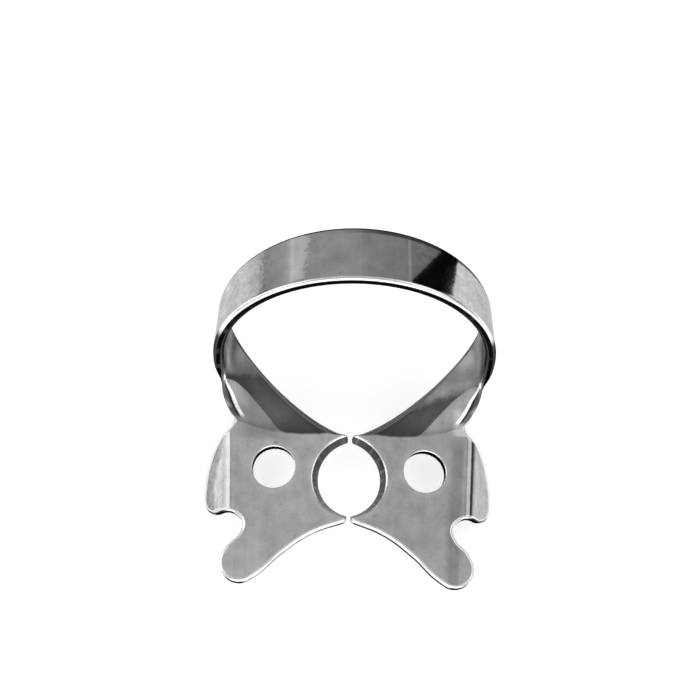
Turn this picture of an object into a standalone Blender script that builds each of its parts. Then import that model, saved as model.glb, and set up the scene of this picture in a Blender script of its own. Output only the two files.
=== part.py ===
"""Rubber dam clamp: one piece of spring steel sheet, stamped and bent.

Two flat jaws carry the tooth notch, the forceps holes and the wings, and one
bow joins them over the back. The origin is in the middle of the sheet, on the
middle plane, midway between the forceps holes. X runs across the jaws, Y from
the jaws to the bow and Z up. Metres.
"""

import math

import bmesh
import bpy
from mathutils import Matrix, Vector

MM = 0.001
WELD = 0.002 * MM  # points this close are one
TOUCH = 1e-7

# Sheet
SHEET = 0.80 * MM  # thickness of the spring steel
EDGE_ROUND = 0.15 * MM  # radius left on the stamped edges by tumbling
EDGE_STEPS = 2

# Jaws, in the plane of the right jaw: u outwards from the middle, y to the back
JAW_SLOPE = math.radians(7.5)  # each jaw falls this much towards its wing
HOLE_AT = 5.65 * MM  # forceps hole from the middle
HOLE_RADIUS = 1.60 * MM
HOLE_SIDES = 48
NOTCH_RADIUS = 3.27 * MM  # at the upper face
NOTCH_CENTRE = (-0.52 * MM, -0.79 * MM)
NOTCH_TAPER = math.radians(27)  # the ground wall leans in towards the tooth
NOTCH_SIDES = 96
TIP_GAP = 0.17 * MM  # prong tips from the middle plane
REAR_TIP_LEFT = 0.11 * MM  # sheet left between the notch and the end of a rear prong
FRONT_TIP_LEFT = 0.16 * MM  # and of a front prong
FRONT_EDGE = ((0.38, 0.66 * MM), (0.70, 0.52 * MM))  # share of the way to the wing, and its bow
CUT_REACH = 2.0 * MM  # cutters stand this far out of the sheet

# Neck and wings. The wings are measured from the neck, u and y.
NECK_IN = 1.44 * MM  # neck from the bow's widest place
NECK_Y = 3.85 * MM
NECK_RUN = 0.25 * MM  # straight stretch of the neck
SIDE_WING = (
    (0.32 * MM, -0.78 * MM),
    (0.94 * MM, -1.40 * MM),
    (1.94 * MM, -3.15 * MM),
    (2.42 * MM, -5.25 * MM),
    (2.34 * MM, -6.55 * MM),
    (1.77 * MM, -7.15 * MM),
    (0.62 * MM, -7.17 * MM),
    (-0.28 * MM, -7.40 * MM),
)
WING_CORNER = (-0.82 * MM, -8.10 * MM)  # inner corner between the two wings
WING_ROOT = (-0.56 * MM, -8.95 * MM)  # outer edge of the front wing, near the corner
WING_SIDE = (0.37 * MM, -9.90 * MM)
FRONT_WING = (-0.70 * MM, -11.09 * MM)  # centre of the front wing's round end
FRONT_WING_RADIUS = 1.53 * MM
FOLD_REAR = (0.24 * MM, -1.10 * MM)
FOLD_FRONT = (0.04 * MM, -7.15 * MM)
FOLD_ANGLE = math.radians(36)  # the side wing falls this much below its jaw
FOLD_RADIUS = 0.60 * MM
FOLD_STEPS = 2
FOLD_CLEAR = 0.14 * MM  # no outline point closer than this to a fold line

# Bow. Its front edge is two half ellipses in a plane that leans back.
LEAN = math.radians(69)
APEX_Z = 12.71 * MM
BOW_HALF = 10.05 * MM
BOW_RISE = 8.57 * MM  # widest place to the top, along the lean
LEG_BEND = 1.50 * MM  # radius between the jaw and the leg
# Its rear edge is a half ellipse above and one sweep down to the rear prong.
REAR_HALF = 9.74 * MM
REAR_RISE = 7.30 * MM
REAR_WIDEST = (10.55 * MM, 3.96 * MM)  # y and z
REAR_SLOPE = 0.563  # y gained for each unit of height
SWEEP_DOWN = 2.10 * MM
SWEEP_TIP = (3.33 * MM, 0.48 * MM)  # handle of the sweep, from the prong tip
BEND_SAG = (1.05 * MM, -0.62 * MM)  # the bend line bows towards the hole
LOW_ROWS = 16
TOP_ROWS = 14
COLUMNS = 6


def on_jaw(u, y, height=0.0):
    """A point of the right jaw; height 0 is the middle of the sheet."""
    point = Vector((u * math.cos(JAW_SLOPE), y, -u * math.sin(JAW_SLOPE)))
    return point + jaw_normal() * height


def jaw_normal():
    return Vector((math.sin(JAW_SLOPE), 0.0, math.cos(JAW_SLOPE)))


def neck():
    """Place of the neck on the right jaw, u and y."""
    return Vector(((BOW_HALF - NECK_IN) / math.cos(JAW_SLOPE), NECK_Y))


def prong_tip(left, side):
    """End of a prong, u and y, with some sheet left outside the notch; side 1 is the rear."""
    centre = Vector(NOTCH_CENTRE)
    along = math.sqrt((NOTCH_RADIUS + left) ** 2 - (TIP_GAP - centre.x) ** 2)
    return Vector((TIP_GAP, centre.y + side * along))


def front_edge():
    """Front edge of the leg and bow, from the neck to the top."""
    foot = on_jaw(*neck())
    run = LEG_BEND * math.tan(LEAN / 2)
    bend_end = foot.y + run
    arc = LEG_BEND * LEAN
    total = arc + (APEX_Z - foot.z) / math.sin(LEAN) - run
    widest = total - BOW_RISE
    start = math.acos(foot.x / BOW_HALF)
    fall = widest / math.sin(start)
    points = []
    for i in range(LOW_ROWS + TOP_ROWS + 1):
        if i < LOW_ROWS:
            angle = -start * (1 - i / LOW_ROWS)
            along = widest + fall * math.sin(angle)
        else:
            angle = math.pi / 2 * (i - LOW_ROWS) / TOP_ROWS
            along = widest + BOW_RISE * math.sin(angle)
        x = BOW_HALF * math.cos(angle)
        if along < arc:
            turn = along / LEG_BEND
            y = bend_end - run + LEG_BEND * math.sin(turn)
            z = foot.z + LEG_BEND * (1 - math.cos(turn))
        else:
            y = bend_end + (along - arc + run) * math.cos(LEAN)
            z = foot.z + (along - arc + run) * math.sin(LEAN)
        points.append(Vector((x, y, z)))
    return points


def rear_edge():
    """Rear edge of the flange and bow, from the rear prong to the top."""
    y, z = REAR_WIDEST
    high = Vector((REAR_HALF, y, z))
    high_handle = high - Vector((0.0, REAR_SLOPE, 1.0)) * SWEEP_DOWN
    flat_tip = prong_tip(REAR_TIP_LEFT, 1)
    tip = on_jaw(*flat_tip)
    tip_handle = on_jaw(*(flat_tip + Vector(SWEEP_TIP)))
    points = []
    for i in range(LOW_ROWS):
        t = i / LOW_ROWS
        a, b, c, d = (1 - t) ** 3, 3 * t * (1 - t) ** 2, 3 * t * t * (1 - t), t ** 3
        points.append(tip * a + tip_handle * b + high_handle * c + high * d)
    for i in range(TOP_ROWS + 1):
        angle = math.pi / 2 * i / TOP_ROWS
        rise = REAR_RISE * math.sin(angle)
        points.append(Vector((REAR_HALF * math.cos(angle), y + REAR_SLOPE * rise, z + rise)))
    return points


def jaw_outline():
    """Outline of the right jaw in the flat, from the neck round to the front prong."""
    corner = neck()
    knots = [corner] + [corner + Vector(place) for place in SIDE_WING]
    knots += [corner + Vector(place) for place in (WING_CORNER, WING_ROOT, WING_SIDE)]
    for angle in (0, -45, -90, -137):
        turn = math.radians(angle)
        around = Vector((math.cos(turn), math.sin(turn))) * FRONT_WING_RADIUS
        knots.append(corner + Vector(FRONT_WING) + around)
    tip = prong_tip(FRONT_TIP_LEFT, -1)
    wing_end = knots[-1]
    for share, bow in reversed(FRONT_EDGE):
        knots.append(tip.lerp(wing_end, share) + Vector((0.0, bow)))
    knots.append(tip)
    curve = bpy.data.curves.new("jaw_outline", "CURVE")
    curve.dimensions = "3D"
    curve.resolution_u = 4
    spline = curve.splines.new("BEZIER")
    spline.bezier_points.add(len(knots) - 1)
    for knot, place in zip(spline.bezier_points, knots):
        knot.co = (place.x, place.y, 0.0)
        knot.handle_left_type = knot.handle_right_type = "AUTO"
    first = spline.bezier_points[0]
    first.handle_left_type = first.handle_right_type = "FREE"
    first.handle_right = (corner.x, corner.y - NECK_RUN, 0.0)
    first.handle_left = (corner.x, corner.y + NECK_RUN, 0.0)
    guide = bpy.data.objects.new("jaw_outline", curve)
    bpy.context.scene.collection.objects.link(guide)
    bpy.context.view_layer.update()
    flat = [vertex.co.copy() for vertex in guide.to_mesh().vertices]
    guide.to_mesh_clear()
    bpy.data.objects.remove(guide)
    return flat


def fold_line():
    """A point of the fold's inner edge in the flat, and the way out across it."""
    rear, front = neck() + Vector(FOLD_REAR), neck() + Vector(FOLD_FRONT)
    return rear, Vector((rear.y - front.y, front.x - rear.x)).normalized()


def fold(flat):
    """Where a point of the flat blank lands once its side wing is bent down."""
    start, out = fold_line()
    place = Vector((flat.x, flat.y))
    beyond = (place - start).dot(out)
    if beyond <= 0 or flat.y < corner_y():
        return on_jaw(flat.x, flat.y)
    turn = min(beyond / FOLD_RADIUS, FOLD_ANGLE)
    straight = beyond - turn * FOLD_RADIUS
    across = FOLD_RADIUS * math.sin(turn) + straight * math.cos(turn)
    drop = FOLD_RADIUS * (1 - math.cos(turn)) + straight * math.sin(turn)
    place = place - out * (beyond - across)
    return on_jaw(place.x, place.y, -drop)


def corner_y():
    return neck().y + WING_CORNER[1]


def flat_jaw(bend_line):
    """The right jaw in the flat, cut along the lines where its side wing folds."""
    jaw = bmesh.new()
    loop = jaw_outline() + bend_line
    jaw.faces.new([jaw.verts.new(point) for point in loop])
    # One cut from the neck to the wing corner parts the side wing from the rest.
    corner = (neck() + Vector(WING_CORNER)).to_3d()
    root = Vector((-WING_CORNER[1], WING_CORNER[0], 0.0)).normalized()
    bmesh.ops.bisect_plane(
        jaw, geom=jaw.verts[:] + jaw.edges[:] + jaw.faces[:], dist=TOUCH,
        plane_co=corner, plane_no=root,
    )
    start, out = fold_line()
    crossings = []
    for k in range(FOLD_STEPS + 1):
        middles = [(face, face.calc_center_median() - corner) for face in jaw.faces]
        wing = [face for face, middle in middles if middle.dot(root) > 0 and middle.y > 0]
        edges = {edge for face in wing for edge in face.edges}
        verts = {vertex for face in wing for vertex in face.verts}
        place = start + out * (FOLD_RADIUS * FOLD_ANGLE * k / FOLD_STEPS)
        made = bmesh.ops.bisect_plane(
            jaw, geom=list(verts) + list(edges) + wing, dist=TOUCH,
            plane_co=place.to_3d(), plane_no=out.to_3d(),
        )
        crossings += [item for item in made["geom_cut"] if isinstance(item, bmesh.types.BMVert)]
    # An outline point that crowds a fold line would pinch the rounded edge there.
    crowding = [
        vertex for vertex in jaw.verts
        if vertex not in crossings and len(vertex.link_edges) == 2
        and any((vertex.co - other.co).length < FOLD_CLEAR for other in crossings)
    ]
    bmesh.ops.dissolve_verts(jaw, verts=crowding)
    return jaw


def sheet_mesh():
    """Middle surface of the right half: flat jaw, folded wing, leg and bow."""
    front, rear = front_edge(), rear_edge()
    sag = on_jaw(*BEND_SAG)
    bm = bmesh.new()
    rows = []
    for i, (f, r) in enumerate(zip(front, rear)):
        left = max(0.0, 1 - i / LOW_ROWS)
        middle = (f + r) / 2 + sag * left ** 1.5
        row = []
        for j in range(COLUMNS + 1):
            v = j / COLUMNS
            point = f * ((1 - v) * (1 - 2 * v)) + middle * (4 * v * (1 - v)) + r * (v * (2 * v - 1))
            row.append(bm.verts.new(point))
        rows.append(row)
    for low, high in zip(rows, rows[1:]):
        for j in range(COLUMNS):
            bm.faces.new((low[j], low[j + 1], high[j + 1], high[j]))
    # The jaw meets the leg along the lowest row.
    bend_line = []
    for vertex in rows[0][:0:-1]:
        bend_line.append(Vector((vertex.co.dot(on_jaw(1.0, 0.0)), vertex.co.y, 0.0)))
    jaw = flat_jaw(bend_line)
    for vertex in jaw.verts:
        vertex.co = fold(vertex.co)
    placed = {vertex: bm.verts.new(vertex.co) for vertex in jaw.verts}
    for face in jaw.faces:
        bm.faces.new([placed[vertex] for vertex in face.verts])
    jaw.free()
    bmesh.ops.remove_doubles(bm, verts=bm.verts[:], dist=WELD)
    bmesh.ops.recalc_face_normals(bm, faces=bm.faces[:])
    mesh = bpy.data.meshes.new("rubber_dam_clamp")
    bm.to_mesh(mesh)
    bm.free()
    return mesh


def cone_cutter(name, top_radius, bottom_radius, centre, sides, collection):
    """A cutter square to the jaw, with its copy for the other jaw."""
    bm = bmesh.new()
    bmesh.ops.create_cone(
        bm, cap_ends=True, cap_tris=False, segments=sides,
        radius1=bottom_radius, radius2=top_radius, depth=2 * CUT_REACH,
    )
    turn = Matrix.Rotation(JAW_SLOPE, 4, "Y")
    bm.transform(Matrix.Translation(on_jaw(*centre)) @ turn)
    # Each cutter keeps to its own side of the middle plane.
    made = bmesh.ops.bisect_plane(
        bm, geom=bm.verts[:] + bm.edges[:] + bm.faces[:], dist=TOUCH,
        plane_co=(0, 0, 0), plane_no=(1, 0, 0), clear_inner=True,
    )
    rim = [item for item in made["geom_cut"] if isinstance(item, bmesh.types.BMEdge)]
    if rim:
        bmesh.ops.edgeloop_fill(bm, edges=rim)
    bmesh.ops.recalc_face_normals(bm, faces=bm.faces[:])
    mesh = bpy.data.meshes.new(name)
    bm.to_mesh(mesh)
    bm.free()
    cutter = bpy.data.objects.new(name, mesh)
    cutter.hide_render = True
    cutter.display_type = "WIRE"
    collection.objects.link(cutter)
    return cutter


def mirrored(cutter, collection):
    mesh = cutter.data.copy()
    mesh.transform(Matrix.Scale(-1, 4, (1, 0, 0)))
    mesh.flip_normals()
    copy = bpy.data.objects.new(cutter.name + "_left", mesh)
    copy.hide_render = True
    copy.display_type = "WIRE"
    collection.objects.link(copy)


def steel():
    material = bpy.data.materials.new("spring_steel")
    material.use_nodes = True
    shader = material.node_tree.nodes["Principled BSDF"]
    shader.inputs["Base Color"].default_value = (0.60, 0.60, 0.61, 1.0)
    shader.inputs["Metallic"].default_value = 1.0
    shader.inputs["Roughness"].default_value = 0.3
    return material


def main():
    for obj in list(bpy.data.objects):
        bpy.data.objects.remove(obj)
    scene = bpy.context.scene
    scene.unit_settings.system = "METRIC"
    scene.unit_settings.scale_length = 1.0
    collection = bpy.data.collections.new("rubber_dam_clamp")
    cutters = bpy.data.collections.new("cutters")
    for made in (collection, cutters):
        scene.collection.children.link(made)

    clamp = bpy.data.objects.new("rubber_dam_clamp", sheet_mesh())
    clamp.data.materials.append(steel())
    collection.objects.link(clamp)

    mirror = clamp.modifiers.new("Halves", "MIRROR")
    mirror.use_axis = (True, False, False)
    mirror.use_clip = True
    mirror.use_mirror_merge = True
    mirror.merge_threshold = 0.00001
    thick = clamp.modifiers.new("Sheet", "SOLIDIFY")
    thick.thickness = SHEET
    thick.offset = 0.0
    thick.use_even_offset = True
    round_off = clamp.modifiers.new("Tumbled edges", "BEVEL")
    round_off.width = EDGE_ROUND
    round_off.segments = EDGE_STEPS
    round_off.limit_method = "ANGLE"
    round_off.angle_limit = math.radians(50)
    round_off.use_clamp_overlap = False

    spread = math.tan(NOTCH_TAPER)
    middle = NOTCH_RADIUS - SHEET / 2 * spread
    notch = cone_cutter(
        "tooth_notch", middle + CUT_REACH * spread, middle - CUT_REACH * spread,
        NOTCH_CENTRE, NOTCH_SIDES, cutters,
    )
    mirrored(notch, cutters)
    hole = cone_cutter("forceps_hole", HOLE_RADIUS, HOLE_RADIUS, (HOLE_AT, 0.0), HOLE_SIDES, cutters)
    mirrored(hole, cutters)
    for cutter in list(cutters.objects):
        cut = clamp.modifiers.new(cutter.name, "BOOLEAN")
        cut.operation = "DIFFERENCE"
        cut.solver = "EXACT"
        cut.object = cutter

    clamp.data.shade_smooth()
    clamp.data.set_sharp_from_angle(angle=math.radians(50))
    clamp.modifiers.new("Flat faces stay flat", "WEIGHTED_NORMAL").keep_sharp = True


main()
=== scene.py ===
"""Rubber dam clamp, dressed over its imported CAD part.

One winged clamp of spring steel: two flat jaws with a tooth notch, forceps
holes and bent wings, and a sprung bow that joins them over the back.
"""

import math

import bmesh
import bpy
from mathutils import Matrix, Vector


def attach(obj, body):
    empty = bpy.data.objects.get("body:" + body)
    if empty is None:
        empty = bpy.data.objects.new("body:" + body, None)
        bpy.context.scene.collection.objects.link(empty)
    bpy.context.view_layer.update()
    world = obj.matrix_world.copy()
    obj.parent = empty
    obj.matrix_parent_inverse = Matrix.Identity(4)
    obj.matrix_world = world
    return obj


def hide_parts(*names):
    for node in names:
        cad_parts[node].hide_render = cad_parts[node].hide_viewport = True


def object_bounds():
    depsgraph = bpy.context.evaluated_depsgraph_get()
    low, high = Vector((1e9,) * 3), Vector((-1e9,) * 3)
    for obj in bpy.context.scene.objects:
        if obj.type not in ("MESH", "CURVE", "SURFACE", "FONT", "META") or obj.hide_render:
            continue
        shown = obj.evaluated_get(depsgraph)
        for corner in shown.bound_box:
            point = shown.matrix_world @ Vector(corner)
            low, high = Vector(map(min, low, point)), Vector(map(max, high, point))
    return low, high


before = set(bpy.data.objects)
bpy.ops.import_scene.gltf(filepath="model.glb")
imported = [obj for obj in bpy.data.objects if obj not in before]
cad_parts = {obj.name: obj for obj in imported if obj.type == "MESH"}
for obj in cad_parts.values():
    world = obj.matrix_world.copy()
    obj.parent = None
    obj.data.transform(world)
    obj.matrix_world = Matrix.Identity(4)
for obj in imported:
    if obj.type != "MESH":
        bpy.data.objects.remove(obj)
cad_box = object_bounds()
MM = 0.001


# Camera
# It stands at the photographer's place, almost straight above the jaws and a
# little in front of them, and is turned slightly on its own axis.
scene = bpy.context.scene
scene.view_settings.view_transform = "Standard"
CAMERA_TILT = math.radians(16)  # from straight above, towards the front
CAMERA_YAW = math.radians(-2.5)
CAMERA_ROLL = math.radians(1.9)
CAMERA_DISTANCE = 220 * MM
FRAME_PIXELS = 700
PIXELS_PER_MM = 13.4  # at the aim point
AIM = Vector((0.0, 0.0, -0.337 * MM))
AIM_PIXEL = (349.3, 469.25)
SENSOR = 36.0  # millimetres across

toward = Vector((
    math.sin(CAMERA_YAW),
    -math.sin(CAMERA_TILT) * math.cos(CAMERA_YAW),
    math.cos(CAMERA_TILT) * math.cos(CAMERA_YAW),
)).normalized()
upright = Vector((0.0, math.cos(CAMERA_TILT), math.sin(CAMERA_TILT)))
across = upright.cross(toward).normalized()
upright = toward.cross(across)
right = across * math.cos(CAMERA_ROLL) + upright * math.sin(CAMERA_ROLL)
up = upright * math.cos(CAMERA_ROLL) - across * math.sin(CAMERA_ROLL)
eye = AIM + toward * CAMERA_DISTANCE
focal_pixels = PIXELS_PER_MM * CAMERA_DISTANCE / MM
# The lens looks at the middle of the frame, so that it needs no shift.
middle = (
    AIM
    + right * ((FRAME_PIXELS / 2 - AIM_PIXEL[0]) / PIXELS_PER_MM * MM)
    + up * ((AIM_PIXEL[1] - FRAME_PIXELS / 2) / PIXELS_PER_MM * MM)
)
look = (eye - middle).normalized()
side = up.cross(look).normalized()
turn = Matrix((side, look.cross(side), look)).transposed()

lens = bpy.data.cameras.new("photo_camera")
lens.sensor_width = SENSOR
lens.lens = SENSOR * focal_pixels / FRAME_PIXELS * (eye - middle).length / CAMERA_DISTANCE
lens.clip_start = 0.01
camera = bpy.data.objects.new("photo_camera", lens)
camera.matrix_world = Matrix.Translation(eye) @ turn.to_4x4()
scene.collection.objects.link(camera)
scene.camera = camera


# Studio
# A pale table under the clamp, a soft sky, three soft boxes round it, and behind
# it dark cards on the right and a grey one on the left.
FLOOR_SIZE = 1.6
TABLE_GAP = 0.02 * MM  # keeps the table clear of the wings
TABLE_GLOW = 0.52
PAPER = (0.86, 0.86, 0.86)
CARD_BLACK = (0.006, 0.006, 0.006)
MATT = 0.9
WHITE = (1.0, 1.0, 1.0, 1.0)
SKY = ((0.0, 0.35), (0.80, 0.37), (0.92, 0.52), (1.0, 0.58))  # height of the ray, strength
FRONT_SKY = 0.55
FRONT_FROM, FRONT_WHOLE = 0.1, -0.4  # y of the ray
SOFT_BOXES = (
    # name, degrees round from the right, degrees up, distance, width, height, strength
    ("soft_box_left", 168, 31, 0.26, 0.18, 0.28, 1.10),
    ("soft_box_right", 18, 43, 0.26, 0.24, 0.14, 1.00),
    ("soft_box_front", -88, 20, 0.30, 0.50, 0.26, 1.70),
)
CARDS = (
    # name, strength, distance, corners in degrees round from the right and degrees up
    ("dark_card_rear", 0.0, 0.12, ((39, -6), (41, 8), (43, 27), (62, 10), (60, -6))),
    ("dark_card_right", 0.07, 0.12, ((2, 10), (2, 24), (32, 24), (32, 10))),
    ("grey_card_left", 0.64, 0.12, ((117, -6), (117, 26), (140, 26), (136, -6))),
)


def fill(tree, sockets, values):
    """Links each value to its socket, or sets it there if it is a plain number."""
    for socket, value in zip(sockets, values):
        if isinstance(value, bpy.types.NodeSocket):
            tree.links.new(value, socket)
        else:
            socket.default_value = value


def maths(tree, operation, *inputs):
    node = tree.nodes.new("ShaderNodeMath")
    node.operation = operation
    fill(tree, node.inputs, inputs)
    return node.outputs[0]


def parts_of(tree, vector):
    node = tree.nodes.new("ShaderNodeSeparateXYZ")
    tree.links.new(vector, node.inputs[0])
    return node.outputs


def plain_material(name, colour, roughness):
    material = bpy.data.materials.new(name)
    material.use_nodes = True
    shader = material.node_tree.nodes["Principled BSDF"]
    shader.inputs["Base Color"].default_value = (*colour, 1.0)
    shader.inputs["Roughness"].default_value = roughness
    shader.inputs["Specular IOR Level"].default_value = 0.0
    return material, shader


def flat_card(name, width, height, material):
    mesh = bpy.data.meshes.new(name)
    corners = [(x * width / 2, y * height / 2, 0.0) for x, y in ((-1, -1), (1, -1), (1, 1), (-1, 1))]
    mesh.from_pydata(corners, [], [(0, 1, 2, 3)])
    mesh.materials.append(material)
    card = bpy.data.objects.new(name, mesh)
    scene.collection.objects.link(card)
    return card


def towards(degrees_round, degrees_up):
    flat, up = math.radians(degrees_round), math.radians(degrees_up)
    return Vector((math.cos(flat) * math.cos(up), math.sin(flat) * math.cos(up), math.sin(up)))


paper, paper_shader = plain_material("pale_table", PAPER, MATT)
paths = paper.node_tree.nodes.new("ShaderNodeLightPath")
seen = paths.outputs["Is Camera Ray"]
for ray in ("Is Glossy Ray", "Is Transmission Ray"):
    seen = maths(paper.node_tree, "MAXIMUM", seen, paths.outputs[ray])
glow = maths(paper.node_tree, "MULTIPLY", seen, TABLE_GLOW)
paper_shader.inputs["Emission Color"].default_value = WHITE
paper.node_tree.links.new(glow, paper_shader.inputs["Emission Strength"])
table = flat_card("table", FLOOR_SIZE, FLOOR_SIZE, paper)
table.location = (0.0, 0.0, cad_box[0][2] - TABLE_GAP)

world = bpy.data.worlds.new("studio")
scene.world = world
world.use_nodes = True
tree = world.node_tree
ray = parts_of(tree, tree.nodes.new("ShaderNodeTexCoord").outputs["Generated"])
ramp = tree.nodes.new("ShaderNodeValToRGB")
in_front = tree.nodes.new("ShaderNodeMapRange")
fill(tree, in_front.inputs, (ray["Y"], FRONT_FROM, FRONT_WHOLE))
blend = tree.nodes.new("ShaderNodeMix")
blend.data_type = "RGBA"
blend.inputs["B"].default_value = (FRONT_SKY, FRONT_SKY, FRONT_SKY, 1.0)
tree.links.new(ray["Z"], ramp.inputs[0])
tree.links.new(in_front.outputs[0], blend.inputs["Factor"])
tree.links.new(ramp.outputs[0], blend.inputs["A"])
tree.links.new(blend.outputs["Result"], tree.nodes["Background"].inputs["Color"])
while len(ramp.color_ramp.elements) < len(SKY):
    ramp.color_ramp.elements.new(0.5)
for stop, (at, strength) in zip(ramp.color_ramp.elements, SKY):
    stop.position = at
    stop.color = (strength, strength, strength, 1.0)

for name, degrees_round, degrees_up, distance, width, height, strength in SOFT_BOXES:
    light = bpy.data.lights.new(name, "AREA")
    light.shape = "RECTANGLE"
    light.size = width
    light.size_y = height
    light.energy = strength * math.pi * width * height
    box = bpy.data.objects.new(name, light)
    box.visible_camera = False
    scene.collection.objects.link(box)
    away = towards(degrees_round, degrees_up)
    box.location = away * distance
    box.rotation_euler = away.to_track_quat("Z", "Y").to_euler()

for name, strength, distance, corners in CARDS:
    material, shader = plain_material(name, CARD_BLACK, MATT)
    shader.inputs["Emission Color"].default_value = WHITE
    shader.inputs["Emission Strength"].default_value = strength
    mesh = bpy.data.meshes.new(name)
    mesh.from_pydata([towards(*corner) * distance for corner in corners], [], [range(len(corners))])
    mesh.materials.append(material)
    card = bpy.data.objects.new(name, mesh)
    scene.collection.objects.link(card)
    card.visible_camera = False
    card.visible_shadow = False
    card.visible_diffuse = False


# Clamp
# One blank is stamped from 0.8 mm spring steel, with its holes and notch, and
# pressed to shape: the wings are bent down and the bow is drawn up and over
# the back. It is then tumbled, which rounds the stamped edges.
SHEET = 0.80 * MM
EDGE_ROUND = 0.24 * MM
EDGE_STEPS = 5
SHARPER_THAN = math.radians(50)  # the edges that tumbling rounds
JAW_SLOPE = math.radians(7.5)
HOLE_AT = 5.65 * MM
HOLE_RADIUS = 1.60 * MM
HOLE_SIDES = 128
HOLE_ROUND = 0.08 * MM
NOTCH_RADIUS = 3.27 * MM
NOTCH_CENTRE = Vector((-0.52 * MM, -0.79 * MM))
NOTCH_TAPER = math.radians(27)
NOTCH_SIDES = 256
NOTCH_ROUND = 0.10 * MM
RIM_STEPS = 5
RIM_FROM = math.radians(12)  # how steeply a rounded rim leaves the face
CUTTER_REACH = 1.5 * MM  # beyond each face of the sheet
CUTTER_FLARE = 1.2  # of the rim's rounding
RIM_SHARE = 0.75  # of the rim's rounding that takes the rounded edges' painted highlight and shade
TIP_GAP = 0.17 * MM
REAR_TIP_LEFT = 0.11 * MM
FRONT_TIP_LEFT = 0.16 * MM
FRONT_EDGE = ((0.38, 0.66 * MM), (0.70, 0.52 * MM))
NECK_IN = 1.44 * MM
NECK_Y = 3.85 * MM
NECK_RUN = 0.25 * MM
SIDE_WING = (
    (0.32 * MM, -0.78 * MM),
    (0.94 * MM, -1.40 * MM),
    (1.94 * MM, -3.15 * MM),
    (2.42 * MM, -5.25 * MM),
    (2.34 * MM, -6.55 * MM),
    (1.77 * MM, -7.15 * MM),
    (0.62 * MM, -7.17 * MM),
    (-0.28 * MM, -7.40 * MM),
)
WING_CORNER = (-0.82 * MM, -8.10 * MM)
WING_ROOT = (-0.56 * MM, -8.95 * MM)
WING_SIDE = (0.37 * MM, -9.90 * MM)
FRONT_WING = (-0.70 * MM, -11.09 * MM)
FRONT_WING_RADIUS = 1.53 * MM
FRONT_WING_KNOTS = (0, -45, -90, -137)  # degrees round the front wing
OUTLINE_STEPS = 12  # between two knots
FOLD_REAR = (0.24 * MM, -1.10 * MM)
FOLD_FRONT = (0.04 * MM, -7.15 * MM)
FOLD_ANGLE = math.radians(36)
FOLD_RADIUS = 0.60 * MM
FOLD_STEPS = 6
FOLD_CLEAR = 0.14 * MM
NECK_CLEAR = 0.42 * MM
LEAN = math.radians(69)
APEX_Z = 12.71 * MM
BOW_HALF = 10.05 * MM
BOW_RISE = 8.57 * MM
LEG_BEND = 1.50 * MM
REAR_HALF = 9.74 * MM
REAR_RISE = 7.30 * MM
REAR_WIDEST = (10.55 * MM, 3.96 * MM)
REAR_SLOPE = 0.563
SWEEP_DOWN = 2.10 * MM
SWEEP_TIP = Vector((3.33 * MM, 0.48 * MM))
BEND_SAG = (1.05 * MM, -0.62 * MM)
SAG_FADE = 1.5  # power by which the sag dies out up the leg
ROWS = 112  # along the leg and bow; its widest place is half way
COLUMNS = 14  # across the leg and bow
END_COLUMNS = 0.06  # how much wider the outermost columns are
TOUCH = 1e-7
ON_BEND = 1e-6
SHEET_WELD = 0.002 * MM
CUTTER_WELD = 0.001 * MM
SEAM_WITHIN = 0.01 * MM
FLAT_WITHIN = math.radians(20)
UNFOLD_PASSES = 10
FOLDED_OVER = math.radians(110)
SLIVER_REACH = 0.8 * MM  # longest side of a face that may be evened out


def on_jaw(u, y, height=0.0):
    """A point of the right jaw: u outwards, y to the back, height from the middle of the sheet."""
    point = Vector((u * math.cos(JAW_SLOPE), y, -u * math.sin(JAW_SLOPE)))
    return point + Vector((math.sin(JAW_SLOPE), 0.0, math.cos(JAW_SLOPE))) * height


def prong_tip(left, back):
    """End of a prong with some sheet left outside the notch; back is 1 at the rear, -1 in front."""
    along = math.sqrt((NOTCH_RADIUS + left) ** 2 - (TIP_GAP - NOTCH_CENTRE.x) ** 2)
    return Vector((TIP_GAP, NOTCH_CENTRE.y + back * along))


neck = Vector(((BOW_HALF - NECK_IN) / math.cos(JAW_SLOPE), NECK_Y))


# The leg and bow follow a rule, so a node tree makes them: a grid, set on two
# edge lines. The front edge is a bend and two half ellipses in a leaning
# plane. The rear edge is one sweep up from the prong and a half ellipse.
def vectors(tree, operation, *inputs):
    node = tree.nodes.new("ShaderNodeVectorMath")
    node.operation = operation
    fill(tree, node.inputs, inputs)
    return node.outputs["Value" if operation in ("LENGTH", "DOT_PRODUCT") else "Vector"]


def scaled(tree, vector, factor):
    node = tree.nodes.new("ShaderNodeVectorMath")
    node.operation = "SCALE"
    fill(tree, (node.inputs[0], node.inputs["Scale"]), (vector, factor))
    return node.outputs[0]


def point_of(tree, x, y, z):
    node = tree.nodes.new("ShaderNodeCombineXYZ")
    fill(tree, node.inputs, (x, y, z))
    return node.outputs[0]


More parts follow.
